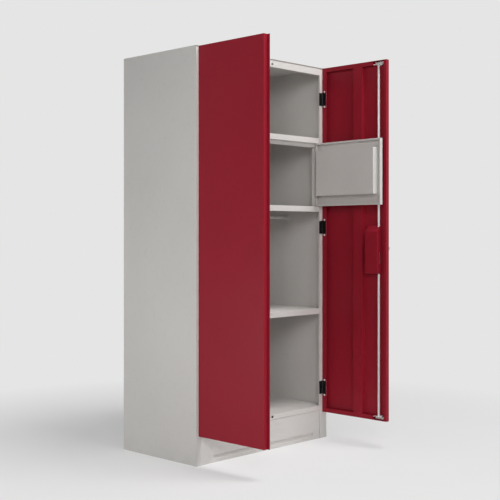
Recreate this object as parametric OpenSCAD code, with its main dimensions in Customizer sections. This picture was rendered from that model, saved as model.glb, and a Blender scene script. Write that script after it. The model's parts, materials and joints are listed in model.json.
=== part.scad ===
// Two-door steel locker cupboard on a plinth. A partition divides it, shelves and coat
// rails fill it, a small safe compartment has its own door, and a turning rod locks it.
// X runs to the right seen from the front, Y runs into the depth, Z runs up.
// The origin is on the floor at the middle of the footprint. Sizes are in millimetres.
// Both doors and the safe door stand open, as the cupboard is shown.

/* [Body] */
// Width over the side panels
body_w = 850; // [800:1:1000]
// Depth of the body without the doors
body_d = 500; // [420:1:650]
// Height from the floor to the top
body_h = 1800; // [1720:1:2000]
// Thickness of the body sheet
sheet = 1.2; // [0.8:0.1:1.6]
// Width of the front stiles
stile_w = 50; // [50:0.5:60]
// Depth of the folded return behind each stile
stile_return = 8; // [7:0.5:12]
// Width of the rear folds of the side panels
rear_fold = 20; // [12:1:40]
// Height of the front rail below the top
top_rail_h = 37; // [32:1:60]
// Depth of the fold under the front rail
rail_fold = 18; // [10:0.5:19]
// Height of the plinth
plinth_h = 136; // [124:1:140]
// Height of the floor panel's front edge above the plinth
floor_lip = 22; // [20:0.5:40]
// Height of the seam between the plinth front and the floor panel's lip
floor_seam = 0.8; // [0.3:0.1:2]
// Height of the groove between the top sheet and the front rail
groove_h = 6; // [2:0.5:8]
// Depth of that groove
groove_d = 8; // [2:0.5:10]
// Set-back of the plinth front behind the stiles
plinth_setback = 2; // [0.3:0.1:4]
// Width of the seams beside the plinth front
plinth_seam = 1.2; // [0.5:0.1:2]
// Height of the pressed bead in the plinth front
bead_h = 18; // [8:1:40]
// Height of the bead's lower edge above the floor
bead_z = 15; // [8:1:60]
// Distance of the bead's ends from the body sides
bead_inset = 100; // [70:1:250]
// Depth of the bead
bead_depth = 4; // [1:0.5:8]
// Width of the tie bar across the plinth
tie_w = 60; // [30:1:120]
// Thickness of the tie bar
tie_t = 3; // [2:0.5:6]
// Distance between the two wall fixing holes
wall_hole_span = 600; // [300:1:700]
// Depth of the wall fixing holes below the top
wall_hole_drop = 80; // [50:1:200]
// Diameter of the wall fixing holes
wall_hole_d = 9; // [5:0.5:14]

/* [Inside] */
// Distance of the partition from the left body side
partition_x = 386; // [360:1:388]
// Width of the partition's front flange
partition_flange = 20; // [12:1:26]
// Height of the front lip of every shelf
shelf_lip = 26; // [20:1:32]
// Thickness of the shelf sheet
shelf_sheet = 1; // [0.8:0.1:1.5]
// Top of the hat shelves above the floor
hat_shelf_z = 1457; // [1450:1:1480]
// Top of the shelf under the safe compartment
safe_shelf_z = 1126; // [1110:1:1130]
// Top of the low boot shelf
boot_shelf_z = 631; // [400:1:700]
// Diameter of the coat rails
rail_d = 14; // [10:1:20]
// Diameter of the coat rail sockets
socket_d = 26; // [24:1:40]
// Distance of the coat rails from the front
rail_y = 258; // [220:1:300]
// Distance of the coat rails below the shelf lip
rail_drop = 26; // [22:1:60]

/* [Doors] */
// Thickness of the doors
door_t = 20; // [19.5:0.5:26]
// Thickness of the door sheet
door_sheet = 1; // [0.8:0.1:1.5]
// Distance of the hinge axes from the body sides
hinge_inset = 33.5; // [28:0.5:34]
// Gap between the two closed doors
door_split = 5; // [3:0.5:8]
// Gap between the closed doors and the stiles
back_gap = 3; // [2.8:0.1:6]
// Gap between the doors and the top edge
door_top_gap = 2.5; // [1:0.5:5]
// Overlap of the doors over the plinth
door_overlap = 8.5; // [6:0.5:12]
// Width of the door's inner flange at the hinges
flange_hinge = 27; // [25:0.5:40]
// Width of the door's inner flange at the free edge
flange_free = 16; // [12:0.5:22]
// Width of the door's inner flange at top and bottom
flange_end = 20; // [17:0.5:21]
// Width of the upright stiffener
stiffener_w = 54; // [30:1:60]
// Distance of the stiffener from the hinge edge
stiffener_u = 192; // [100:1:200]
// Reach of the left door's closing strip past its edge
strip_reach = 13; // [8:0.5:16]
// Thickness of the closing strip
strip_t = 1.5; // [1:0.1:1.8]

/* [Hinges] */
// Height of each hinge
hinge_h = 62; // [50:1:90]
// Thickness of the hinge leaves
leaf_t = 1.3; // [0.8:0.05:1.3]
// Width of the door leaf
door_leaf_w = 21; // [16:0.5:22]
// Outer diameter of the hinge barrels
barrel_d = 9; // [8:0.5:11]
// Diameter of the hinge pins
pin_d = 5; // [4:0.25:6]
// Lowest hinge's middle above the door's bottom edge
hinge_low = 119; // [80:1:250]
// Middle hinge's middle above the door's bottom edge
hinge_mid = 897; // [750:1:950]
// Top hinge's middle below the door's top edge
hinge_top = 151; // [80:1:250]

/* [Lock] */
// Distance of the lock rod from the free edge
rod_edge = 51; // [50:0.5:53]
// Diameter of the lock rod
rod_d = 11; // [8:0.5:12]
// Width of the hooks' curved tips
hook_band = 5; // [4:0.5:6]
// Thickness of the hooks
hook_t = 4; // [3:0.5:5]
// Width of the lock cover
cover_w = 70; // [64:0.5:74]
// Height of the lock cover
cover_h = 224; // [180:1:260]
// Bottom of the lock cover above the door's bottom edge
cover_rise = 681; // [560:1:720]
// How far the lock cover stands proud of the door's inner plane
cover_proud = 16; // [6:0.5:18]
// Height of the handle's axis above the cover's bottom
handle_rise = 117; // [90:1:130]
// Length of the handle
handle_l = 96; // [70:1:110]
// Width of the handle
handle_w = 18; // [17:0.5:24]
// Diameter of the key plug
plug_d = 14; // [10:0.5:14]

/* [Safe door] */
// Angle at which the safe door stands open
safe_open = 86; // [70:1:86]
// Thickness of the safe door
safe_t = 15; // [13:0.5:16]
// Height of the raised liner behind the safe door
liner_h = 24; // [14:1:28]
// Width of the rim round the safe door's inner sheet
safe_rim = 8; // [4:0.5:12]
// Gap between the liner and the partition flange
liner_gap = 2; // [1.5:0.5:5]
// Width of the band between the liner and the hinge edge
liner_hinge = 29; // [27:1:60]
// Height of the band above the liner
liner_top = 41; // [25:1:80]
// Height of the band below the liner
liner_low = 49; // [25:1:80]
// Height of the stop strip above the safe opening
header_h = 19; // [12:1:30]
// Width of the stop strip beside the safe opening
post_w = 19; // [8:1:22]
// Diameter of the safe door's pivot pins
safe_pin_d = 6; // [4:0.5:6]
// Height of the safe door's bolt
bolt_h = 10; // [6:1:14]

/* [Hidden] */
$fn = 48;

body_grey = [0.80, 0.79, 0.77];
door_red = [0.53, 0.09, 0.13];
zinc = [0.82, 0.80, 0.78];
hinge_black = [0.06, 0.06, 0.06];
chrome = [0.75, 0.75, 0.76];

// Clearances: past a turning piece, round a shaft, and beside a resting piece.
play = 0.5;
shaft_gap = 0.1;
seat_gap = 0.3;
cut = 1;

// Body heights and planes.
side_top = body_h - sheet;
rail_z = body_h - top_rail_h;
rail_top = side_top - groove_h;
floor_z = plinth_h + floor_lip;
floor_low = plinth_h + floor_seam;
back_y = body_d - 2 * sheet;
shelf_back = back_y - sheet;
part_y = safe_t + 7;
shelf_y = part_y + sheet + seat_gap;
part_l = partition_x - sheet / 2;
part_r = partition_x + sheet / 2;
flange_l = partition_x - partition_flange / 2;
flange_r = partition_x + partition_flange / 2;
lip_y = 0.5;
lip_l = stile_w + leaf_t + seat_gap;
lip_r = body_w - lip_l;
side_fold = 20;
floor_fold = 15;
shelf_fold = 20;
shelf_side = 18;

// Doors: u runs along a door from its hinge edge, y = 0 is its inner plane and its
// skin lies at y = -door_t.
door_w = (body_w - 2 * hinge_inset - door_split) / 2;
door_z0 = plinth_h - door_overlap;
door_z1 = body_h - door_top_gap;
hinge_zs = [door_z0 + hinge_low, door_z0 + hinge_mid, door_z1 - hinge_top];
barrel_r = barrel_d / 2;
pin_r = pin_d / 2;
knuckle_h = hinge_h / 3;
notch_end = 2.5;
leaf_wrap = 2.5;
rivet_r = 2.5;
rivet_head_r = 4;
rivet_head_t = 1.2;
rivet_u = 11;
rivet_dz = 20;
plate_t = 2;
plate_u = door_sheet + seat_gap;
plate_w = 20;
plate_over = 12;
screw_u = 14;
screw_dz = hinge_h / 2 + 5.5;
screw_r = 2;
screw_head_r = 4.5;
screw_head_t = 1.6;
stiffener_t = 1;
stiffener_rim = 12;

// Lock rod, hooks and the slots they reach into. At rest a hook's curved tip lies in
// the door, hook_spread to either side of the line to the free edge.
rod_u = door_w - rod_edge;
rod_y = -door_t / 2;
rod_r = rod_d / 2;
hook_z0 = plinth_h + 12.5;
hook_z1 = body_h - 23.5;
hook_plane = back_gap - rod_y;
hook_r0 = hook_plane + sheet + 0.8;
hook_r1 = hook_r0 + hook_band;
hook_spread = 25;
hook_arm = 20;
hub_r = rod_r + 1.5;
slot_near = rod_u + sqrt(pow(hook_r0, 2) - pow(hook_plane + sheet, 2)) - 1;
slot_far = rod_u + sqrt(pow(hook_r1, 2) - pow(hook_plane, 2)) + 1;
slot_over = 3;
guide_t = 2.5;
guide_near = 25;
guide_far = 22;
guide_foot = 12;
guide_top = -0.5;
rod_z0 = hook_z0 - hook_t / 2 - seat_gap - guide_t;
rod_z1 = hook_z1 + hook_t / 2 + seat_gap + guide_t;
gear_r = rod_r + 2.5;
gear_w = 8;
gear_teeth = 12;
tooth_depth = 1.5;
tooth_gap = 1.6;
cover_t = 1.2;
cover_u1 = rod_u + gear_r + play + cover_t;
cover_u0 = cover_u1 - cover_w;
cover_z0 = door_z0 + cover_rise;
cover_z1 = cover_z0 + cover_h;
cover_slope = cover_proud + 12;
cover_base = door_sheet - door_t;
cover_slot_z = cover_z0 + 46;
cover_slot_h = 53;
cover_slot_w = 10;
handle_u = rod_u - 2 * gear_r - seat_gap;
handle_z = cover_z0 + handle_rise;
spindle_r = gear_r - 3;
case_t = 4;
case_reach = 30;
case_h = 84;
escutcheon_r = 24;
escutcheon_t = 3.5;
handle_base_r = 19;
handle_base_t = 8;
grip_t = 22;
escutcheon_face = -door_t - escutcheon_t;
handle_back = escutcheon_face - play;
grip_back = handle_back - handle_base_t;
grip_face = grip_back - grip_t;
plug_l = 20;
plug_proud = 1;

// Safe door, drawn closed in body coordinates and swung about its pivot.
safe_front = 2.5;
safe_back = safe_front + safe_t;
safe_px = body_w - stile_w - 9;
safe_py = safe_front + 3;
safe_x1 = safe_px + 3;
safe_x0 = flange_l;
safe_z0 = safe_shelf_z + 1;
safe_z1 = hat_shelf_z - shelf_lip - 1;
safe_sheet = 1;
liner_x0 = flange_r + liner_gap;
liner_x1 = safe_x1 - liner_hinge;
liner_z0 = safe_z0 + liner_low;
liner_z1 = safe_z1 - liner_top;
liner_face = safe_back + liner_h;
liner_base = safe_front + 2 * safe_sheet;
bracket_t = 2.5;
bracket_w = 14;
low_bracket_z = safe_shelf_z - shelf_sheet - bracket_t;
high_bracket_z = hat_shelf_z - shelf_lip + shelf_sheet;
frame_y = safe_back + play;
lock_x = liner_x0 + 14;
lock_z = (safe_z0 + safe_z1) / 2;
lock_r = 9.5;
lock_plug_r = 6;
lock_end = part_y + sheet + 0.8;

// The crank pin on the safe lock's plug slides the bolt as the plug makes a quarter turn.
crank_r = 4.9;
crank_at = crank_r * cos(45);
crank_pin_r = 1;
crank_y = lock_end + 0.2;
bolt_y = crank_y + seat_gap;
bolt_t = 3;
yoke_gap = 0.35;

// A box between two values on each axis.
module block(x0, x1, y0, y1, z0, z1) {
    translate([x0, y0, z0])
        cube([x1 - x0, y1 - y0, z1 - z0]);
}

// A round bar along Z, from z0 to z1.
module post(x, y, r, z0, z1) {
    translate([x, y, z0])
        cylinder(r = r, h = z1 - z0);
}

// A round bar along Y, from y0 to y1.
module bar_y(x, z, r, y0, y1) {
    translate([x, y0, z])
        rotate([-90, 0, 0])
            cylinder(r = r, h = y1 - y0);
}

// A round bar along X, from x0 to x1.
module bar_x(y, z, r, x0, x1) {
    translate([x0, y, z])
        rotate([0, 90, 0])
            cylinder(r = r, h = x1 - x0);
}

// Places what is drawn from the body's left front edge.
module in_body() {
    translate([-body_w / 2, -body_d / 2, 0])
        children();
}

// Mirrors what is drawn for the left side onto the right side.
module on_right() {
    translate([body_w, 0, 0])
        mirror([1, 0, 0])
            children();
}

// Hangs a door drawn in its own frame on its hinge axis, open by a right angle.
module hung() {
    translate([hinge_inset, -back_gap / 2, 0])
        rotate([0, 0, -90])
            translate([0, -back_gap / 2, 0])
                children();
}

module left_hung() {
    in_body() hung() children();
}

module right_hung() {
    in_body() on_right() hung() children();
}

// Swings the safe door open about its pivot.
module safe_hung() {
    in_body()
        translate([safe_px, safe_py, 0])
            rotate([0, 0, safe_open])
                translate([-safe_px, -safe_py, 0])
                    children();
}

// Slot in the frame for a hook of the closed right door, at the height zc.
module hook_slot(zc) {
    on_right()
        block(hinge_inset + slot_near, hinge_inset + slot_far, -cut, sheet + cut,
              zc - hook_t / 2 - slot_over, zc + hook_t / 2 + slot_over);
}

// Rivet shanks or their holes through the stile at one body side.
module frame_rivet_bars(r, y0, y1) {
    for (z = hinge_zs, dz = [-rivet_dz, rivet_dz])
        bar_y(hinge_inset + rivet_u, z + dz, r, y0, y1);
}

// Rivet shanks or their holes through a door's hinge flange.
module door_rivet_bars(r, y0, y1) {
    for (z = hinge_zs, dz = [-rivet_dz, rivet_dz])
        bar_y(rivet_u, z + dz, r, y0, y1);
}

// Screw shanks or their holes above and below each hinge.
module plate_screw_bars(r, y0, y1) {
    for (z = hinge_zs, dz = [-screw_dz, screw_dz])
        bar_y(screw_u, z + dz, r, y0, y1);
}

// Side panel, folded at the front into the stile and at the rear into a narrow edge.
module side_panel() {
    block(0, sheet, 0, body_d, 0, side_top);
    block(0, rear_fold, body_d - sheet, body_d, 0, side_top);
    difference() {
        union() {
            block(0, stile_w, 0, sheet, 0, rail_z);
            block(stile_w - sheet, stile_w, 0, stile_return, 0, rail_z);
        }
        for (z = hinge_zs)
            block(hinge_inset - barrel_r - play, hinge_inset + barrel_r + play, -cut, sheet + cut,
                  z - hinge_h / 2 - notch_end, z + hinge_h / 2 + notch_end);
        frame_rivet_bars(rivet_r + shaft_gap, -cut, sheet + cut);
    }
}

module left_side_panel() {
    color(body_grey) in_body() side_panel();
}

module right_side_panel() {
    color(body_grey) in_body() on_right() side_panel();
}

module back_panel() {
    color(body_grey) in_body()
        difference() {
            block(sheet, body_w - sheet, back_y, body_d - sheet, plinth_h, side_top);
            for (side = [-1, 1])
                bar_y(body_w / 2 + side * wall_hole_span / 2, body_h - wall_hole_drop,
                      wall_hole_d / 2, back_y - cut, body_d);
        }
}

// Top sheet with the front rail, which is folded back at its lower edge and steps back
// into a shadow groove at its upper edge. Folds run down the inner faces of the sides.
module top_panel() {
    color(body_grey) in_body()
        difference() {
            union() {
                block(0, body_w, 0, body_d, side_top, body_h);
                block(sheet, 2 * sheet, groove_d, back_y, side_top - side_fold, side_top + sheet / 2);
                block(body_w - 2 * sheet, body_w - sheet, groove_d, back_y,
                      side_top - side_fold, side_top + sheet / 2);
                block(sheet, body_w - sheet, groove_d, groove_d + sheet, rail_top - sheet,
                      side_top + sheet / 2);
                block(sheet, body_w - sheet, 0, groove_d + sheet, rail_top - sheet, rail_top);
                block(sheet, body_w - sheet, 0, sheet, rail_z, rail_top);
                block(sheet, body_w - sheet, 0, rail_fold, rail_z, rail_z + sheet);
            }
            hook_slot(hook_z1);
        }
}

// Floor sheet, notched round the stiles and folded down on all four sides.
module floor_panel() {
    color(body_grey) in_body()
        difference() {
            union() {
                block(sheet, body_w - sheet, stile_return, back_y, floor_z - sheet, floor_z);
                block(stile_w, body_w - stile_w, 0, stile_return + cut, floor_z - sheet, floor_z);
                block(stile_w, body_w - stile_w, 0, sheet, floor_low, floor_z);
                block(stile_w, body_w - stile_w, 0, floor_fold, floor_low, floor_low + sheet);
                block(sheet, 2 * sheet, stile_return, back_y, floor_z - side_fold, floor_z);
                block(body_w - 2 * sheet, body_w - sheet, stile_return, back_y,
                      floor_z - side_fold, floor_z);
                block(sheet, body_w - sheet, back_y - sheet, back_y, floor_z - side_fold, floor_z);
            }
            hook_slot(hook_z0);
        }
}

// Left end fold of the plinth front. It stands off the stile by the seam and is joined to
// it further back.
module plinth_end(x0, y0) {
    block(x0, x0 + sheet, y0, stile_return, 0, plinth_h);
    block(stile_w, x0 + sheet, stile_return - 3, stile_return, 0, plinth_h);
}

// Plinth front with a long bead pressed into it and a fold under the floor panel.
module plinth_front() {
    x0 = stile_w + plinth_seam;
    y0 = plinth_setback;
    color(body_grey) in_body()
        difference() {
            union() {
                block(x0, body_w - x0, y0, y0 + sheet, 0, plinth_h);
                block(x0, body_w - x0, y0, y0 + side_fold, plinth_h - sheet, plinth_h);
                block(bead_inset - sheet, body_w - bead_inset + sheet, y0, y0 + bead_depth + sheet,
                      bead_z - sheet, bead_z + bead_h + sheet);
                plinth_end(x0, y0);
                on_right() plinth_end(x0, y0);
            }
            block(bead_inset, body_w - bead_inset, y0 - cut, y0 + bead_depth, bead_z, bead_z + bead_h);
        }
}

module plinth_back() {
    color(body_grey) in_body() {
        block(sheet, body_w - sheet, back_y, body_d - sheet, 0, plinth_h);
        block(sheet, body_w - sheet, back_y - side_fold, body_d - sheet, plinth_h - sheet, plinth_h);
    }
}

// Flat bar on the floor that ties the plinth front to the plinth back.
module plinth_tie_bar() {
    color(body_grey) in_body()
        block((body_w - tie_w) / 2, (body_w + tie_w) / 2, plinth_setback + sheet, back_y, 0, tie_t);
}

module partition() {
    color(body_grey) in_body() {
        block(part_l, part_r, part_y, back_y, floor_z, side_top);
        block(flange_l, flange_r, part_y, part_y + sheet, floor_z, side_top);
        block(part_l - floor_fold, part_r, back_y - sheet, back_y, floor_z, side_top);
    }
}

// Shelf tray from x0 to x1 with short sides. From xa to xb it reaches forward between
// the stile and the partition's flange to its folded front lip.
module shelf(x0, x1, xa, xb, z) {
    t = shelf_sheet;
    block(x0, x1, shelf_y, shelf_back, z - t, z);
    block(xa, xb, lip_y, shelf_y + cut, z - t, z);
    block(xa, xb, lip_y, lip_y + t, z - shelf_lip, z);
    block(xa, xb, lip_y, lip_y + shelf_fold, z - shelf_lip, z - shelf_lip + t);
    block(x0, x0 + t, shelf_y, shelf_back, z - shelf_side, z);
    block(x1 - t, x1, shelf_y, shelf_back, z - shelf_side, z);
    block(x0, x1, shelf_back - t, shelf_back, z - shelf_side, z);
}

// Shelf on the right of the partition.
module right_shelf(z) {
    shelf(part_r, body_w - sheet, flange_r + seat_gap, lip_r, z);
}

// Hole for a pivot pin of the safe door in a shelf sheet whose top is at z.
module pivot_hole(z) {
    post(safe_px, safe_py, safe_pin_d / 2 + play, z - shelf_sheet - cut, z + cut);
}

module left_hat_shelf() {
    color(body_grey) in_body() shelf(sheet, part_l, lip_l, flange_l - seat_gap, hat_shelf_z);
}

module right_hat_shelf() {
    color(body_grey) in_body()
        difference() {
            right_shelf(hat_shelf_z);
            pivot_hole(high_bracket_z);
        }
}

module safe_shelf() {
    color(body_grey) in_body()
        difference() {
            right_shelf(safe_shelf_z);
            pivot_hole(safe_shelf_z);
        }
}

module boot_shelf() {
    color(body_grey) in_body() right_shelf(boot_shelf_z);
}

// Small angles under the shelf sides, two at each end of a shelf.
module shelf_clips() {
    leg = shelf_lip - shelf_side;
    long = 40;
    thick = 1.5;
    reach = 14;
    color(body_grey) in_body()
        for (place = [[sheet, part_l, hat_shelf_z], [part_r, body_w - sheet, hat_shelf_z],
                      [part_r, body_w - sheet, safe_shelf_z], [part_r, body_w - sheet, boot_shelf_z]])
            for (y = [shelf_y + 60, shelf_back - 60 - long]) {
                top = place[2] - shelf_side;
                block(place[0], place[0] + reach, y, y + long, top - thick, top);
                block(place[0], place[0] + thick, y, y + long, top - leg, top);
                block(place[1] - reach, place[1], y, y + long, top - thick, top);
                block(place[1] - thick, place[1], y, y + long, top - leg, top);
            }
}

// Stop strips above and beside the safe opening, behind the closed safe door.
module safe_frame() {
    x0 = flange_r + seat_gap;
    x1 = body_w - stile_w + 2;
    z1 = hat_shelf_z - shelf_lip;
    color(body_grey) in_body() {
        block(x0, x1, frame_y, frame_y + sheet, z1 - header_h, z1);
        block(x0, x1, frame_y, frame_y + shelf_side, z1 - header_h, z1 - header_h + sheet);
        block(x1 - post_w, x1, frame_y, frame_y + sheet, safe_shelf_z, z1);
        block(x1 - post_w, x1 - post_w + sheet, frame_y, frame_y + shelf_side, safe_shelf_z, z1);
    }
}

left_rail_z = hat_shelf_z - shelf_lip - rail_drop;
right_rail_z = safe_shelf_z - shelf_lip - rail_drop;

module left_coat_rail() {
    color(chrome) in_body() bar_x(rail_y, left_rail_z, rail_d / 2, sheet, part_l);
}

module right_coat_rail() {
    color(chrome) in_body() bar_x(rail_y, right_rail_z, rail_d / 2, part_r, body_w - sheet);
}

// Socket for a rail's end: a round flange on the wall with a short collar.
module rail_socket(x, z, side) {
    flange_t = 3;
    collar_l = 9;
    collar_r = rail_d / 2 + 2;
    difference() {
        union() {
            bar_x(rail_y, z, socket_d / 2, min(x, x + side * flange_t), max(x, x + side * flange_t));
            bar_x(rail_y, z, collar_r, min(x, x + side * collar_l), max(x, x + side * collar_l));
        }
        bar_x(rail_y, z, rail_d / 2 + shaft_gap, x - collar_l - cut, x + collar_l + cut);
    }
}

module rail_sockets() {
    color(zinc) in_body() {
        rail_socket(sheet, left_rail_z, 1);
        rail_socket(part_l, left_rail_z, -1);
        rail_socket(part_r, right_rail_z, 1);
        rail_socket(body_w - sheet, right_rail_z, -1);
    }
}

// Frame leaves of one side: a leaf on the stile, folded round the stile's inner edge,
// with a barrel at its top and bottom.
module frame_leaves() {
    for (z = hinge_zs)
        difference() {
            union() {
                block(hinge_inset, stile_w + leaf_t, -leaf_t, 0,
                      z - hinge_h / 2, z + hinge_h / 2);
                block(stile_w, stile_w + leaf_t, -leaf_t, leaf_wrap,
                      z - hinge_h / 2, z + hinge_h / 2);
                for (end = [-1, 1])
                    post(hinge_inset, -back_gap / 2, barrel_r,
                         z + end * knuckle_h - knuckle_h / 2 + (1 + end) / 2 * seat_gap,
                         z + end * knuckle_h + knuckle_h / 2 - (1 - end) / 2 * seat_gap);
            }
            post(hinge_inset, -back_gap / 2, barrel_r + play, z - knuckle_h / 2, z + knuckle_h / 2);
            post(hinge_inset, -back_gap / 2, pin_r + shaft_gap, z - hinge_h, z + hinge_h);
            for (dz = [-rivet_dz, rivet_dz])
                bar_y(hinge_inset + rivet_u, z + dz, rivet_r + shaft_gap, -back_gap, cut);
        }
}

module left_frame_leaves() {
    color(hinge_black) in_body() frame_leaves();
}

module right_frame_leaves() {
    color(hinge_black) in_body() on_right() frame_leaves();
}

// Hinge pins of one side, each with a low head on the upper barrel.
module hinge_pins() {
    head_t = 1.5;
    for (z = hinge_zs) {
        post(hinge_inset, -back_gap / 2, pin_r, z - hinge_h / 2, z + hinge_h / 2);
        post(hinge_inset, -back_gap / 2, pin_r + 1, z + hinge_h / 2, z + hinge_h / 2 + head_t);
    }
}

module left_hinge_pins() {
    color(hinge_black) in_body() hinge_pins();
}

module right_hinge_pins() {
    color(hinge_black) in_body() on_right() hinge_pins();
}

module stile_rivets() {
    frame_rivet_bars(rivet_r, -leaf_t, sheet + rivet_head_t);
    frame_rivet_bars(rivet_head_r, sheet, sheet + rivet_head_t);
}

module frame_rivets() {
    color(hinge_black) in_body() {
        stile_rivets();
        on_right() stile_rivets();
    }
}

// Plates inside the shelves' folds above and below the safe door, which hold its pivot pins.
module safe_pivot_brackets() {
    color(body_grey) in_body()
        for (z = [low_bracket_z, high_bracket_z])
            difference() {
                block(lip_r - bracket_w, lip_r, lip_y + shelf_sheet, lip_y + shelf_fold - 2,
                      z, z + bracket_t);
                post(safe_px, safe_py, safe_pin_d / 2 + shaft_gap, z - cut, z + bracket_t + cut);
            }
}

// Door tray in its own frame: skin, four walls and an inner flange all round.
module door_pan() {
    t = door_sheet;
    difference() {
        block(0, door_w, -door_t, 0, door_z0, door_z1);
        block(t, door_w - t, t - door_t, -t, door_z0 + t, door_z1 - t);
        block(flange_hinge, door_w - flange_free, -t - cut, cut,
              door_z0 + flange_end, door_z1 - flange_end);
        for (z = hinge_zs)
            block(-cut, barrel_r + play, back_gap / 2 - barrel_r - play, cut,
                  z - hinge_h / 2 - notch_end, z + hinge_h / 2 + notch_end);
        door_rivet_bars(rivet_r + shaft_gap, -t - cut, cut);
        plate_screw_bars(screw_r + shaft_gap, -t - cut, cut);
    }
}

// Upright hat section behind the skin, flush with the inner plane.
module stiffener() {
    t = stiffener_t;
    skin = door_sheet - door_t;
    z0 = door_z0 + door_sheet;
    z1 = door_z1 - door_sheet;
    u1 = stiffener_u + stiffener_w;
    block(stiffener_u, u1, -door_sheet - t, -door_sheet, z0, z1);
    block(stiffener_u, u1, -door_sheet - cut, 0, door_z0 + flange_end, door_z1 - flange_end);
    for (u = [stiffener_u, u1 - t])
        block(u, u + t, skin, -door_sheet, z0, z1);
    block(stiffener_u - stiffener_rim, stiffener_u + t, skin, skin + t, z0, z1);
    block(u1 - t, u1 + stiffener_rim, skin, skin + t, z0, z1);
}

// Door leaves of one door: a leaf on the hinge flange with the middle barrel.
module door_leaves() {
    for (z = hinge_zs)
        difference() {
            union() {
                block(0, door_leaf_w, 0, leaf_t, z - hinge_h / 2, z + hinge_h / 2);
                post(0, back_gap / 2, barrel_r, z - knuckle_h / 2 + seat_gap,
                     z + knuckle_h / 2 - seat_gap);
            }
            for (end = [-1, 1])
                post(0, back_gap / 2, barrel_r + play, z + end * knuckle_h - knuckle_h / 2,
                     z + end * knuckle_h + knuckle_h / 2);
            post(0, back_gap / 2, pin_r + shaft_gap, z - hinge_h, z + hinge_h);
            for (dz = [-rivet_dz, rivet_dz])
                bar_y(rivet_u, z + dz, rivet_r + shaft_gap, -cut, back_gap);
        }
}

// Backing plates behind the hinge flange, which the rivets and screws grip.
module hinge_plates() {
    for (z = hinge_zs)
        difference() {
            block(barrel_r + 2 * play, barrel_r + 2 * play + plate_w, -door_sheet - plate_t, -door_sheet,
                  z - hinge_h / 2 - plate_over, z + hinge_h / 2 + plate_over);
            for (dz = [-rivet_dz, rivet_dz])
                bar_y(rivet_u, z + dz, rivet_r + shaft_gap, -door_t, cut);
            for (dz = [-screw_dz, screw_dz])
                bar_y(screw_u, z + dz, screw_r + shaft_gap, -door_t, cut);
        }
}

module door_rivets() {
    back = -door_sheet - plate_t;
    door_rivet_bars(rivet_r, back - rivet_head_t, leaf_t);
    door_rivet_bars(rivet_head_r, back - rivet_head_t, back);
}

module plate_screws() {
    plate_screw_bars(screw_r, -door_sheet - plate_t, screw_head_t);
    plate_screw_bars(screw_head_r, 0, screw_head_t);
}

module left_door_pan() {
    color(door_red) left_hung() door_pan();
}

module left_door_stiffener() {
    color(door_red) left_hung() stiffener();
}

// Strip on the left door's free edge that the right door closes against.
module closing_strip() {
    y0 = (back_gap - strip_t) / 2;
    color(door_red) left_hung() {
        block(door_w - flange_free + 1, door_w + strip_reach, y0, y0 + strip_t, door_z0, door_z1);
        block(door_w - flange_free + 1, door_w - 1, 0, y0 + strip_t, door_z0, door_z1);
    }
}

module left_door_leaves() {
    color(hinge_black) left_hung() door_leaves();
}

module left_hinge_plates() {
    color(zinc) left_hung() hinge_plates();
}

module left_door_rivets() {
    color(hinge_black) left_hung() door_rivets();
}

module left_plate_screws() {
    color(zinc) left_hung() plate_screws();
}

// The right pan's inner flange is left out at both ends, where the rod guides stand.
module right_door_pan() {
    color(door_red) right_hung()
        difference() {
            door_pan();
            bar_y(handle_u, handle_z, spindle_r + 1, -door_t - cut, cover_base + cut);
            for (z = [door_z0 + door_sheet, door_z1 - flange_end - cut])
                block(rod_u - guide_near - play, door_w - flange_free, -door_sheet - cut, cut,
                      z, z + flange_end + cut - door_sheet);
        }
}

module right_door_stiffener() {
    color(door_red) right_hung() stiffener();
}

// Section through the lock cover, across the door, grown inwards by t.
function cover_section(t, back) = [
    [back, cover_z0 + t],
    [cover_proud - t, cover_z0 + t],
    [cover_proud - t, cover_z1 - cover_slope - t * tan(22.5)],
    [cover_proud - cover_slope - t * tan(22.5), cover_z1 - t],
    [back, cover_z1 - t]
];

// Extrudes a section across the door from u0 to u1.
module across_door(u0, u1) {
    translate([u0, 0, 0])
        rotate([90, 0, 90])
            linear_extrude(u1 - u0)
                children();
}

// Folded cover over the lock, with a sloped top and a slot beside the rod.
module lock_cover() {
    color(door_red) right_hung()
        difference() {
            across_door(cover_u0, cover_u1) polygon(cover_section(0, cover_base));
            across_door(cover_u0 + cover_t, cover_u1 - cover_t)
                polygon(cover_section(cover_t, cover_base - cut));
            post(rod_u, rod_y, rod_r + 1, cover_z0 - cut, cover_z1 + cut);
            block(cover_u1 - cover_t - cut, cover_u1 + cut, rod_y - cover_slot_w / 2,
                  rod_y + cover_slot_w / 2, cover_slot_z, cover_slot_z + cover_slot_h);
        }
}

// Bearing plate of the handle spindle, fixed to the inside of the skin.
module lock_case() {
    color(zinc) right_hung()
        difference() {
            block(handle_u - case_reach, handle_u + gear_r, cover_base, cover_base + case_t,
                  handle_z - case_h / 2, handle_z + case_h / 2);
            bar_y(handle_u, handle_z, spindle_r + shaft_gap, cover_base - cut, cover_base + case_t + cut);
        }
}

// Guide plates at the rod's ends, with a foot on the skin towards the door's end.
module rod_guides() {
    color(zinc) right_hung()
        for (end = [[rod_z0, 1], [rod_z1, -1]]) {
            z0 = min(end[0], end[0] + end[1] * guide_t);
            foot = min(end[0], end[0] - end[1] * guide_foot);
            difference() {
                union() {
                    block(rod_u - guide_near, rod_u + guide_far, cover_base, guide_top,
                          z0, z0 + guide_t);
                    block(rod_u - guide_near, rod_u + guide_far, cover_base, cover_base + 1.5,
                          foot, foot + guide_foot);
                }
                post(rod_u, rod_y, rod_r + shaft_gap, z0 - cut, z0 + guide_t + cut);
            }
        }
}

module escutcheon() {
    color(chrome) right_hung()
        difference() {
            bar_y(handle_u, handle_z, escutcheon_r, escutcheon_face, -door_t);
            bar_y(handle_u, handle_z, spindle_r + 1, escutcheon_face - cut, cut - door_t);
        }
}

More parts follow.
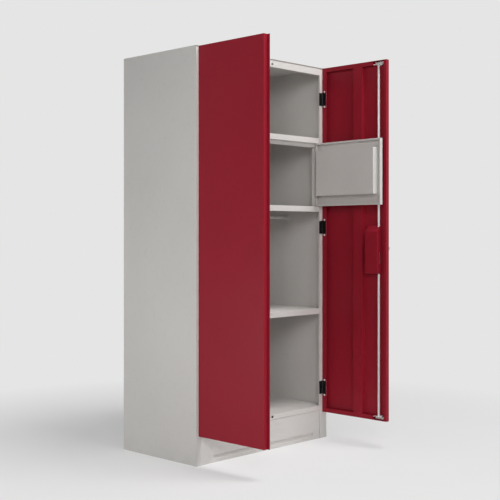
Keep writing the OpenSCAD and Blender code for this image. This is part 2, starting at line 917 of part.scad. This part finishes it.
module right_door_leaves() {
    color(hinge_black) right_hung() door_leaves();
}

module right_hinge_plates() {
    color(zinc) right_hung() hinge_plates();
}

module right_door_rivets() {
    color(hinge_black) right_hung() door_rivets();
}

module right_plate_screws() {
    color(zinc) right_hung() plate_screws();
}

module lock_rod() {
    color(zinc) right_hung() post(rod_u, rod_y, rod_r, rod_z0, rod_z1);
}

// Part of a flat ring round the Z axis, from the angle start over the angle span.
module ring_part(r0, r1, start, span) {
    rotate([0, 0, start])
        rotate_extrude(angle = span)
            translate([r0, 0])
                square([r1 - r0, hook_t]);
}

// Hook round the rod with an arm and a curved tip, which turns through the frame slot
// and behind the frame.
module rod_hook(z) {
    translate([rod_u, rod_y, z - hook_t / 2])
        difference() {
            union() {
                cylinder(r = hub_r, h = hook_t);
                ring_part(rod_r, hook_r1, -hook_spread, hook_arm);
                ring_part(hook_r0, hook_r1, -hook_spread, 2 * hook_spread);
            }
            translate([0, 0, -cut])
                cylinder(r = rod_r, h = hook_t + 2 * cut);
        }
}

module rod_hooks() {
    color(zinc) right_hung() {
        rod_hook(hook_z0);
        rod_hook(hook_z1);
    }
}

// Wheel along Z with slanted teeth. Two of them turn each other across a right angle.
module screw_gear(bore_r) {
    difference() {
        cylinder(r = gear_r, h = gear_w, center = true);
        cylinder(r = bore_r, h = gear_w + 2 * cut, center = true);
        for (i = [0:gear_teeth - 1])
            rotate([0, 0, i * 360 / gear_teeth])
                translate([gear_r, 0, 0])
                    rotate([45, 0, 0])
                        cube([2 * tooth_depth, tooth_gap, 2 * gear_w], center = true);
    }
}

module rod_gear() {
    color(chrome) right_hung()
        translate([rod_u, rod_y, handle_z])
            screw_gear(rod_r);
}

// Handle with a round base, a long grip and a seat for the key plug.
module turn_handle() {
    color(chrome) right_hung()
        difference() {
            union() {
                bar_y(handle_u, handle_z, handle_base_r, grip_back, handle_back);
                block(handle_u - handle_l / 2 + handle_w / 2, handle_u + handle_l / 2 - handle_w / 2,
                      grip_face, grip_back, handle_z - handle_w / 2, handle_z + handle_w / 2);
                for (end = [-1, 1])
                    bar_y(handle_u + end * (handle_l - handle_w) / 2, handle_z, handle_w / 2,
                          grip_face, grip_back);
            }
            bar_y(handle_u, handle_z, plug_d / 2 + shaft_gap, grip_face - cut, grip_face + plug_l);
        }
}

module handle_spindle() {
    color(chrome) right_hung()
        bar_y(handle_u, handle_z, spindle_r, handle_back, rod_y + gear_w / 2 + 1);
}

module spindle_gear() {
    color(chrome) right_hung()
        translate([handle_u, rod_y, handle_z])
            rotate([90, 0, 0])
                screw_gear(spindle_r);
}

// Key plug in the handle, with a bare key slot.
module key_plug() {
    color(zinc) right_hung()
        difference() {
            bar_y(handle_u, handle_z, plug_d / 2, grip_face - plug_proud, grip_face + plug_l - seat_gap);
            block(handle_u - 4, handle_u + 4, grip_face - plug_proud - cut, grip_face + 6,
                  handle_z - 0.8, handle_z + 0.8);
        }
}

// Safe door tray with a narrow rim round its open back.
module safe_door_pan() {
    t = safe_sheet;
    color(body_grey) safe_hung()
        difference() {
            block(safe_x0, safe_x1, safe_front, safe_back, safe_z0, safe_z1);
            block(safe_x0 + t, safe_x1 - t, safe_front + t, safe_back - t, safe_z0 + t, safe_z1 - t);
            block(safe_x0 + safe_rim, safe_x1 - safe_rim, safe_back - t - cut, safe_back + cut,
                  safe_z0 + safe_rim, safe_z1 - safe_rim);
            bar_y(lock_x, lock_z, lock_r + shaft_gap, safe_front - cut, safe_front + t + cut);
        }
}

// Inner sheet of the safe door with its raised box, pierced for the bolt.
module safe_door_liner() {
    t = safe_sheet;
    color(body_grey) safe_hung()
        difference() {
            union() {
                block(safe_x0 + t, safe_x1 - t, liner_base - t, liner_base, safe_z0 + t, safe_z1 - t);
                block(liner_x0, liner_x1, liner_base - t, liner_face, liner_z0, liner_z1);
            }
            block(liner_x0 + t, liner_x1 - t, liner_base - t - cut, liner_face - t,
                  liner_z0 + t, liner_z1 - t);
            block(liner_x0 - cut, liner_x0 + t + cut, bolt_y - seat_gap, bolt_y + bolt_t + seat_gap,
                  lock_z - bolt_h / 2 - seat_gap, lock_z + bolt_h / 2 + seat_gap);
        }
}

module safe_pivot_pins() {
    color(zinc) safe_hung() {
        post(safe_px, safe_py, safe_pin_d / 2, low_bracket_z - 1, safe_z0);
        post(safe_px, safe_py, safe_pin_d / 2, safe_z1, high_bracket_z + bracket_t + 1);
    }
}

module safe_lock_case() {
    color(chrome) safe_hung()
        difference() {
            union() {
                bar_y(lock_x, lock_z, lock_r, safe_front - 0.5, lock_end);
                bar_y(lock_x, lock_z, lock_r + 2, safe_front - 1.5, safe_front);
            }
            bar_y(lock_x, lock_z, lock_plug_r + shaft_gap, 0, lock_end + cut);
        }
}

// Plug with a bare key slot in front and a crank pin at its back.
module safe_lock_plug() {
    color(zinc) safe_hung() {
        difference() {
            bar_y(lock_x, lock_z, lock_plug_r, safe_front - 2, crank_y);
            block(lock_x - 3.5, lock_x + 3.5, 0, safe_front + 3, lock_z - 0.7, lock_z + 0.7);
        }
        bar_y(lock_x + crank_at, lock_z + crank_at, crank_pin_r, crank_y, bolt_y + bolt_t);
    }
}

// Flat bolt with an upright slot round the crank pin. It slides behind the partition's
// flange, and its tip lies flush in the liner's side while it is drawn back.
module safe_bolt() {
    pin_x = lock_x + crank_at;
    reach = crank_pin_r + yoke_gap;
    color(zinc) safe_hung()
        difference() {
            union() {
                block(liner_x0, pin_x + 5, bolt_y, bolt_y + bolt_t, lock_z - bolt_h / 2, lock_z + bolt_h / 2);
                block(pin_x - 5, pin_x + 5, bolt_y, bolt_y + bolt_t, lock_z, lock_z + 9);
            }
            block(pin_x - reach, pin_x + reach, bolt_y - cut, bolt_y + bolt_t + cut,
                  lock_z + crank_at - reach, lock_z + crank_r + reach);
        }
}

left_side_panel();
right_side_panel();
back_panel();
top_panel();
floor_panel();
plinth_front();
plinth_back();
plinth_tie_bar();
partition();
left_hat_shelf();
right_hat_shelf();
safe_shelf();
boot_shelf();
shelf_clips();
safe_frame();
left_coat_rail();
right_coat_rail();
rail_sockets();
left_frame_leaves();
right_frame_leaves();
left_hinge_pins();
right_hinge_pins();
frame_rivets();
safe_pivot_brackets();
left_door_pan();
left_door_stiffener();
closing_strip();
left_door_leaves();
left_hinge_plates();
left_door_rivets();
left_plate_screws();
right_door_pan();
right_door_stiffener();
lock_cover();
lock_case();
rod_guides();
escutcheon();
right_door_leaves();
right_hinge_plates();
right_door_rivets();
right_plate_screws();
lock_rod();
rod_hooks();
rod_gear();
turn_handle();
handle_spindle();
spindle_gear();
key_plug();
safe_door_pan();
safe_door_liner();
safe_pivot_pins();
safe_lock_case();
safe_lock_plug();
safe_bolt();
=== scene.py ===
import json
import math

import bmesh
import bpy
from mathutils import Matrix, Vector

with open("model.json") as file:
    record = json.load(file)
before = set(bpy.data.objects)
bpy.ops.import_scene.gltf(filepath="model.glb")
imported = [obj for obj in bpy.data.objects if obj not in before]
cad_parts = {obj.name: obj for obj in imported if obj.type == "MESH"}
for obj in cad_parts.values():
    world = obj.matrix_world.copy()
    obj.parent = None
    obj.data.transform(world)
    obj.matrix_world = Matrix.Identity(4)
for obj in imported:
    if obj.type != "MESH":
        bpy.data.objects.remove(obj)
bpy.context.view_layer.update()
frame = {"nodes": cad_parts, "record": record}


# Noises of the materials: scale, detail, roughness and the window that a layer spreads from 0 to 1.
NOISES = {
    "mottle": (2.2, 3.0, 0.5, 0.32, 0.68),
    "specks": (38.0, 4.0, 0.6, 0.56, 0.72),
    "foot_dirt": (14.0, 5.0, 0.65, 0.42, 0.75),
    "worn_paint": (55.0, 3.0, 0.5, 0.50, 0.66),
    "scuffs": (9.0, 6.0, 0.72, 0.60, 0.78),
    "gloss": (18.0, 3.0, 0.5, 0.3, 0.7),
    "sheet_wave": (4.5, 1.0, 0.4),
    "orange_peel": (620.0, 2.0, 0.5),
    "tarnish": (22.0, 4.0, 0.6, 0.42, 0.72),
    "grain": (240.0, 2.0, 0.5, 0.3, 0.7),
    "floor": (1.3, 4.0, 0.5, 0.3, 0.7),
}
# What counts as an edge: the spread of one minus the dot product of soft and flat normals.
EDGE_SAMPLES = 4
EDGE_WINDOW = (0.002, 0.05)


# Node helpers

class Graph:
    """Small wrapper that adds and links shader nodes."""

    def __init__(self, name):
        self.mat = bpy.data.materials.new(name)
        self.mat.use_nodes = True
        self.tree = self.mat.node_tree
        self.tree.nodes.clear()
        self.out = self.tree.nodes.new("ShaderNodeOutputMaterial")
        self.where = self.add("ShaderNodeTexCoord").outputs["Object"]

    def add(self, kind, inputs=None, **props):
        n = self.tree.nodes.new(kind)
        for k, v in props.items():
            setattr(n, k, v)
        for k, v in (inputs or {}).items():
            if isinstance(v, bpy.types.NodeSocket):
                self.tree.links.new(v, n.inputs[k])
            else:
                n.inputs[k].default_value = v
        return n

    def noise(self, name, stretch=None):
        """The plain noise of one row of NOISES."""
        scale, detail, rough = NOISES[name][:3]
        where = self.where
        if stretch:
            where = self.add("ShaderNodeMapping", {"Vector": where, "Scale": stretch}).outputs[0]
        return self.add("ShaderNodeTexNoise", {
            "Vector": where, "Scale": scale, "Detail": detail, "Roughness": rough}).outputs["Fac"]

    def layer(self, name, stretch=None, to_low=0.0, to_high=1.0):
        """The noise of one row, with its window spread from to_low to to_high."""
        low, high = NOISES[name][3:]
        return self.ramp(self.noise(name, stretch), low, high, to_low, to_high)

    def ramp(self, value, low, high, to_low=0.0, to_high=1.0):
        return self.add("ShaderNodeMapRange", {
            "Value": value, "From Min": low, "From Max": high,
            "To Min": to_low, "To Max": to_high}).outputs["Result"]

    def math(self, op, a, b):
        return self.add("ShaderNodeMath", {0: a, 1: b}, operation=op).outputs[0]

    def mix(self, fac, a, b):
        n = self.tree.nodes.new("ShaderNodeMix")
        n.data_type = "RGBA"
        for k, v in ((0, fac), (6, a), (7, b)):
            if isinstance(v, bpy.types.NodeSocket):
                self.tree.links.new(v, n.inputs[k])
            else:
                n.inputs[k].default_value = v
        return n.outputs[2]

    def edges(self, radius):
        """1 along sharp edges and 0 on flat faces."""
        soft = self.add("ShaderNodeBevel", {"Radius": radius}, samples=EDGE_SAMPLES).outputs[0]
        flat = self.add("ShaderNodeNewGeometry").outputs["Normal"]
        dot = self.add("ShaderNodeVectorMath", {0: soft, 1: flat}, operation="DOT_PRODUCT").outputs["Value"]
        return self.ramp(self.math("SUBTRACT", 1.0, dot), *EDGE_WINDOW)

    def share(self, part, mask):
        return self.math("MULTIPLY", mask, part)

    def bump(self, height, distance, strength, below=None):
        inputs = {"Height": height, "Distance": distance, "Strength": strength}
        if below is not None:
            inputs["Normal"] = below
        return self.add("ShaderNodeBump", inputs).outputs[0]

    def surface(self, **inputs):
        b = self.add("ShaderNodeBsdfPrincipled", {k.replace("_", " "): v for k, v in inputs.items()})
        self.tree.links.new(b.outputs[0], self.out.inputs[0])
        return self.mat


def rgb(r, g, b):
    return (r, g, b, 1.0)


def scaled(c, k):
    return (c[0] * k, c[1] * k, c[2] * k, 1.0)


# Materials

# Enamel: the mottling's darkest and lightest share of the colour, how much each layer shows,
# the height in metres that dirt climbs from the floor, and the radius of worn edges.
MOTTLE_DARK = 0.965
MOTTLE_LIGHT = 1.025
SPECK_SHARE = 0.10
FOOT_SHARE = 0.18
FOOT_HEIGHT = 0.10
WEAR_SHARE = 0.55
WEAR_RADIUS = 0.0018
SCUFF_STRETCH = (1.0, 1.0, 0.25)
SCUFF_ROUGHNESS = 0.07
GLOSS_SWING = 0.035
# Depth in metres and strength of the relief.
SHEET_WAVE = (0.004, 0.30)
ORANGE_PEEL = (0.00012, 0.55)
DRAWN_GRAIN = (0.00008, 0.5)
# Plating: the radius, share and lightness of rubbed edges, and how the roughness moves.
RUB_RADIUS = 0.0012
RUB_SHARE = 0.5
RUB_LIGHT = 1.15
TARNISH_ROUGHNESS = (-0.05, 0.06)
GRAIN_ROUGHNESS = (-0.03, 0.03)
CLOUD_WINDOW = (0.3, 0.7)
# Grain drawn along each axis.
ALONG_X = (0.04, 1.0, 1.0)
ALONG_Y = (1.0, 0.04, 1.0)
ALONG_Z = (1.0, 1.0, 0.04)


def enamel(name, base, rough, spec, wear, grime):
    """Sprayed sheet metal: mottled colour, orange peel, slightly wavy sheet, worn edges."""
    g = Graph(name)
    colour = g.mix(g.layer("mottle"), scaled(base, MOTTLE_DARK), scaled(base, MOTTLE_LIGHT))
    colour = g.mix(g.share(SPECK_SHARE, g.layer("specks")), colour, grime)
    height = g.add("ShaderNodeSeparateXYZ", {0: g.where}).outputs["Z"]
    foot = g.math("MULTIPLY", g.ramp(height, FOOT_HEIGHT, 0.0), g.layer("foot_dirt"))
    colour = g.mix(g.share(FOOT_SHARE, foot), colour, grime)
    edge = g.math("MULTIPLY", g.edges(WEAR_RADIUS), g.layer("worn_paint"))
    colour = g.mix(g.share(WEAR_SHARE, edge), colour, wear)
    gloss = g.layer("gloss", None, rough - GLOSS_SWING, rough + GLOSS_SWING)
    shine = g.math("ADD", gloss, g.share(SCUFF_ROUGHNESS, g.layer("scuffs", SCUFF_STRETCH)))
    wavy = g.bump(g.noise("sheet_wave"), *SHEET_WAVE)
    peel = g.bump(g.noise("orange_peel"), *ORANGE_PEEL, wavy)
    return g.surface(Base_Color=colour, Roughness=shine, Specular_IOR_Level=spec, Normal=peel)


def plated(name, base, rough, grain, tarnish, metal):
    """Plated metal with drawn grain, cloudy tarnish and brighter edges."""
    g = Graph(name)
    colour = g.mix(g.layer("tarnish"), base, tarnish)
    colour = g.mix(g.share(RUB_SHARE, g.edges(RUB_RADIUS)), colour, scaled(base, RUB_LIGHT))
    bright, dull = (rough + step for step in TARNISH_ROUGHNESS)
    cloud = g.ramp(g.noise("tarnish"), *CLOUD_WINDOW, bright, dull)
    shine = g.math("ADD", cloud, g.layer("grain", grain, *GRAIN_ROUGHNESS))
    rubbed = g.bump(g.noise("grain", grain), *DRAWN_GRAIN)
    return g.surface(Base_Color=colour, Roughness=shine, Metallic=metal, Normal=rubbed)


# Columns: base colour, roughness, specular level, colour of worn edges and colour of grime.
ENAMELS = {
    "grey_enamel": (rgb(0.665, 0.650, 0.628), 0.42, 0.22, rgb(0.74, 0.73, 0.71), rgb(0.40, 0.37, 0.33)),
    "ruby_enamel": (rgb(0.304, 0.0135, 0.0275), 0.36, 0.12, rgb(0.40, 0.06, 0.075), rgb(0.10, 0.010, 0.012)),
    "hinge_black": (rgb(0.0055, 0.0055, 0.0055), 0.45, 0.20, rgb(0.10, 0.095, 0.09), rgb(0.03, 0.027, 0.022)),
}
# Columns: base colour, roughness, direction of the grain, colour of tarnish and metallic share.
PLATINGS = {
    "zinc_plate": (rgb(0.80, 0.79, 0.78), 0.42, ALONG_Z, rgb(0.74, 0.73, 0.72), 0.15),
    "rail_chrome": (rgb(0.95, 0.95, 0.95), 0.42, ALONG_X, rgb(0.90, 0.90, 0.90), 0.7),
    "handle_chrome": (rgb(0.76, 0.76, 0.77), 0.24, ALONG_Y, rgb(0.60, 0.60, 0.61), 0.9),
}
MATERIALS = {name: enamel(name, *row) for name, row in ENAMELS.items()}
MATERIALS.update({name: plated(name, *row) for name, row in PLATINGS.items()})


# CAD nodes

# Width in metres and segments of the rounding on edges, for these nodes and for all others.
BEVELS = {
    "turn_handle": (0.0028, 4),
    "escutcheon": (0.0012, 3),
    "lock_cover": (0.0012, 3),
    "safe_lock_case": (0.0008, 2),
    "key_plug": (0.0005, 2),
}
SHEET_BEVEL = (0.00045, 2)
BEVEL_ANGLE = 40
WELD_GAP = 0.00001


def finish_cad():
    slot_of = {p["node"]: p["material_slot"] for p in frame["record"]["subparts"]}
    for name, obj in frame["nodes"].items():
        mat = MATERIALS[slot_of[name]]
        if not obj.material_slots:
            obj.data.materials.append(mat)
        for s in obj.material_slots:
            s.material = mat
        width, segments = BEVELS.get(name, SHEET_BEVEL)
        weld = obj.modifiers.new("weld", "WELD")
        weld.merge_threshold = WELD_GAP
        bevel = obj.modifiers.new("bevel", "BEVEL")
        bevel.width = width
        bevel.segments = segments
        bevel.limit_method = "ANGLE"
        bevel.angle_limit = math.radians(BEVEL_ANGLE)
        bevel.harden_normals = False


finish_cad()


# Camera, lights and surroundings

# The camera that was fitted to the straight edges of the cupboard, level and off to its front left.
CAMERA_PLACE = (-3.23169, -3.39558, 0.99646)
CAMERA_FORWARD = (0.7311, 0.6823, 0.0)
CAMERA_LENS = 70.88
CAMERA_SHIFT = (-0.07308, -0.0337)
SENSOR = 36.0
CAMERA_REACH = 200.0


def make_camera():
    cam = bpy.data.objects.new("camera", bpy.data.cameras.new("camera"))
    bpy.context.scene.collection.objects.link(cam)
    cam.location = CAMERA_PLACE
    cam.rotation_mode = "QUATERNION"
    cam.rotation_quaternion = Vector(CAMERA_FORWARD).to_track_quat("-Z", "Y")
    cam.data.sensor_width = SENSOR
    cam.data.lens = CAMERA_LENS
    cam.data.shift_x, cam.data.shift_y = CAMERA_SHIFT
    cam.data.clip_end = CAMERA_REACH
    bpy.context.scene.camera = cam


MIDDLE = (0.0, 0.0, 0.9)
# Columns: name, place, target, size in metres and power in watts.
LIGHTS = [
    ("camera_side", (-3.4, -4.0, 2.6), MIDDLE, (1.6, 1.6), 79.0),
    ("overhead", (0.4, -2.2, 5.2), MIDDLE, (2.0, 2.0), 207.0),
    ("key", (-1.5, -4.8, 2.2), MIDDLE, (1.6, 1.6), 24.0),
    ("side_front", (-4.4, -3.0, 1.5), MIDDLE, (1.6, 1.8), 15.0),
    ("side_back", (-2.7, 0.6, 0.3), (-0.4, 0.2, 0.5), (1.2, 0.5), 13.0),
]


def area_light(name, place, target, size, power):
    data = bpy.data.lights.new(name, "AREA")
    data.shape = "RECTANGLE"
    data.size, data.size_y = size
    data.energy = power
    lamp = bpy.data.objects.new(name, data)
    lamp.location = place
    lamp.rotation_mode = "QUATERNION"
    lamp.rotation_quaternion = (Vector(target) - Vector(place)).to_track_quat("-Z", "Y")
    bpy.context.scene.collection.objects.link(lamp)


# Brightness of the backdrop, and of the even light that reaches the cupboard from all around.
PALE = 0.783
AMBIENT = 0.02
AMBIENT_COLOUR = rgb(1.0, 0.99, 0.98)
# Share of the glow on the floor near the cupboard, and the brightness that lamps give it there.
FLOOR_GLOW = 0.48
FLOOR_LIT = 0.71
# Distances in metres from the cupboard's middle between which the glow rises to the backdrop.
FLOOR_NEAR = 0.75
FLOOR_FAR = 2.2
FLOOR_DARK = rgb(0.76, 0.76, 0.76)
FLOOR_LIGHT = rgb(0.80, 0.80, 0.80)
FLOOR_RADIUS = 60.0
FLOOR_SEGMENTS = 96


def backdrop_rays(tree):
    """1 for the rays that see the pale backdrop: from the camera, and in gloss and glass."""
    path = tree.nodes.new("ShaderNodeLightPath")
    total = path.outputs["Is Camera Ray"]
    for ray in ("Is Glossy Ray", "Is Transmission Ray"):
        add = tree.nodes.new("ShaderNodeMath")
        add.use_clamp = True
        tree.links.new(total, add.inputs[0])
        tree.links.new(path.outputs[ray], add.inputs[1])
        total = add.outputs[0]
    return total


def make_world():
    world = bpy.data.worlds.new("studio")
    bpy.context.scene.world = world
    world.use_nodes = True
    tree = world.node_tree
    tree.nodes.clear()
    out = tree.nodes.new("ShaderNodeOutputWorld")
    seen = tree.nodes.new("ShaderNodeBackground")
    seen.inputs["Color"].default_value = rgb(PALE, PALE, PALE)
    seen.inputs["Strength"].default_value = 1.0
    ambient = tree.nodes.new("ShaderNodeBackground")
    ambient.inputs["Color"].default_value = AMBIENT_COLOUR
    ambient.inputs["Strength"].default_value = AMBIENT
    mix = tree.nodes.new("ShaderNodeMixShader")
    tree.links.new(backdrop_rays(tree), mix.inputs[0])
    tree.links.new(ambient.outputs[0], mix.inputs[1])
    tree.links.new(seen.outputs[0], mix.inputs[2])
    tree.links.new(mix.outputs[0], out.inputs[0])


def make_floor():
    mesh = bpy.data.meshes.new("floor")
    bm = bmesh.new()
    bmesh.ops.create_circle(bm, cap_ends=True, segments=FLOOR_SEGMENTS, radius=FLOOR_RADIUS)
    bm.to_mesh(mesh)
    bm.free()
    floor = bpy.data.objects.new("floor", mesh)
    bpy.context.scene.collection.objects.link(floor)
    g = Graph("floor")
    paint = g.mix(g.layer("floor"), FLOOR_DARK, FLOOR_LIGHT)
    matt = g.add("ShaderNodeBsdfDiffuse", {"Color": paint})
    distance = g.add("ShaderNodeVectorMath", {0: g.where}, operation="LENGTH").outputs["Value"]
    far = g.ramp(distance, FLOOR_NEAR, FLOOR_FAR, FLOOR_GLOW, 1.0)
    power = g.math("ADD", FLOOR_LIT, g.math("DIVIDE", PALE - FLOOR_LIT, far))
    glow = g.add("ShaderNodeEmission", {"Color": rgb(1.0, 1.0, 1.0), "Strength": power})
    seen = g.math("MULTIPLY", far, backdrop_rays(g.tree))
    mix = g.add("ShaderNodeMixShader", {0: seen, 1: matt.outputs[0], 2: glow.outputs[0]})
    g.tree.links.new(mix.outputs[0], g.out.inputs[0])
    mesh.materials.append(g.mat)


make_camera()
make_world()
make_floor()
for lamp in LIGHTS:
    area_light(*lamp)

bpy.context.scene.view_settings.view_transform = "Standard"
